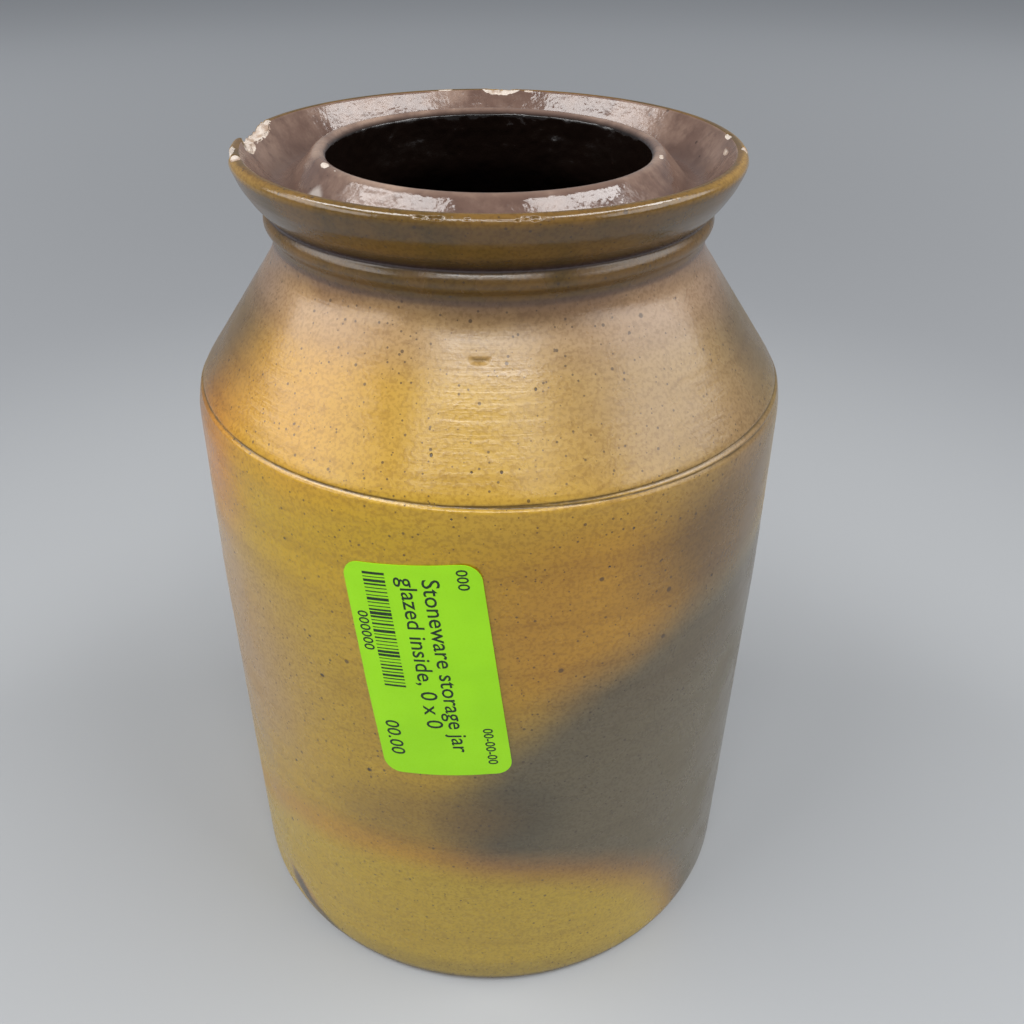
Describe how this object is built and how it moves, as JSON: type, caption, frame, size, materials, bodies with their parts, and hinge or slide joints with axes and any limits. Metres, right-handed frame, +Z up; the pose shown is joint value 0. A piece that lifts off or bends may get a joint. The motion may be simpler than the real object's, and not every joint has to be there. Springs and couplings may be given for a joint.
{
  "type": "stoneware preserving jar",
  "caption": "Thrown stoneware jar with a sloping shoulder, a beaded neck, a flared rim with a wax-seal groove round its open mouth, a dark slip lining and a plain price label.",
  "frame": {"origin": "centre of the foot, on the surface that the jar stands on", "axes": "+Z up the jar's axis towards the mouth, -Y towards the side that carries the label"},
  "size_m": [0.1238, 0.1244, 0.1778],
  "materials": {
    "salt_glazed_stoneware": "glossy salt glaze over buff stoneware, tan to mustard with a smoky grey patch",
    "dark_slip_glaze": "glossy purple-brown slip, near black inside",
    "fluorescent_paper": "matt fluorescent yellow-green sticker"
  },
  "bodies": {
    "root": {"jar_body": "salt_glazed_stoneware", "slip_lining": "dark_slip_glaze", "price_label": "fluorescent_paper"}
  },
  "joints": []
}
